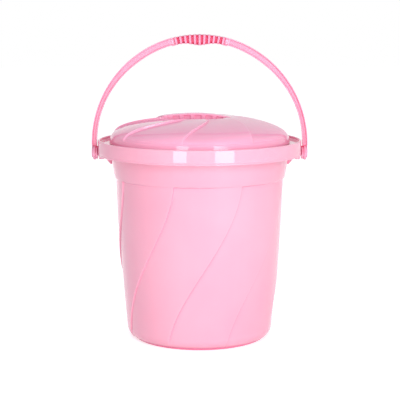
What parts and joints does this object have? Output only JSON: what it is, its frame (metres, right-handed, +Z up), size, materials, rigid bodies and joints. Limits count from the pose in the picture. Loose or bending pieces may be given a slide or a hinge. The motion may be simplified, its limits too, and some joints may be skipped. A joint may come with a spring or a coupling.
{
  "type": "household bucket with lid",
  "caption": "Tapered moulded bucket with swirled side panels, a hanging rim band, a loose domed lid with a sunk finger bar, and a swinging ribbed carrying handle.",
  "frame": {"origin": "under the middle of the foot ring, on the surface the bucket stands on", "axes": "+Z up, handle pivot axis along X, front towards -Y"},
  "size_m": [0.3184, 0.2996, 0.4477],
  "materials": {
    "pink_plastic": "glossy injection-moulded, slightly translucent"
  },
  "bodies": {
    "bucket": {"bucket": "pink_plastic", "lid": "pink_plastic"},
    "bail": {"bail": "pink_plastic"}
  },
  "joints": [
    {"name": "bail_swing", "type": "hinge", "parent": "bucket", "child": "bail", "pos_m": [0, 0, 0.2745], "axis": [1, 0, 0], "range_deg": [-125, 125]}
  ]
}
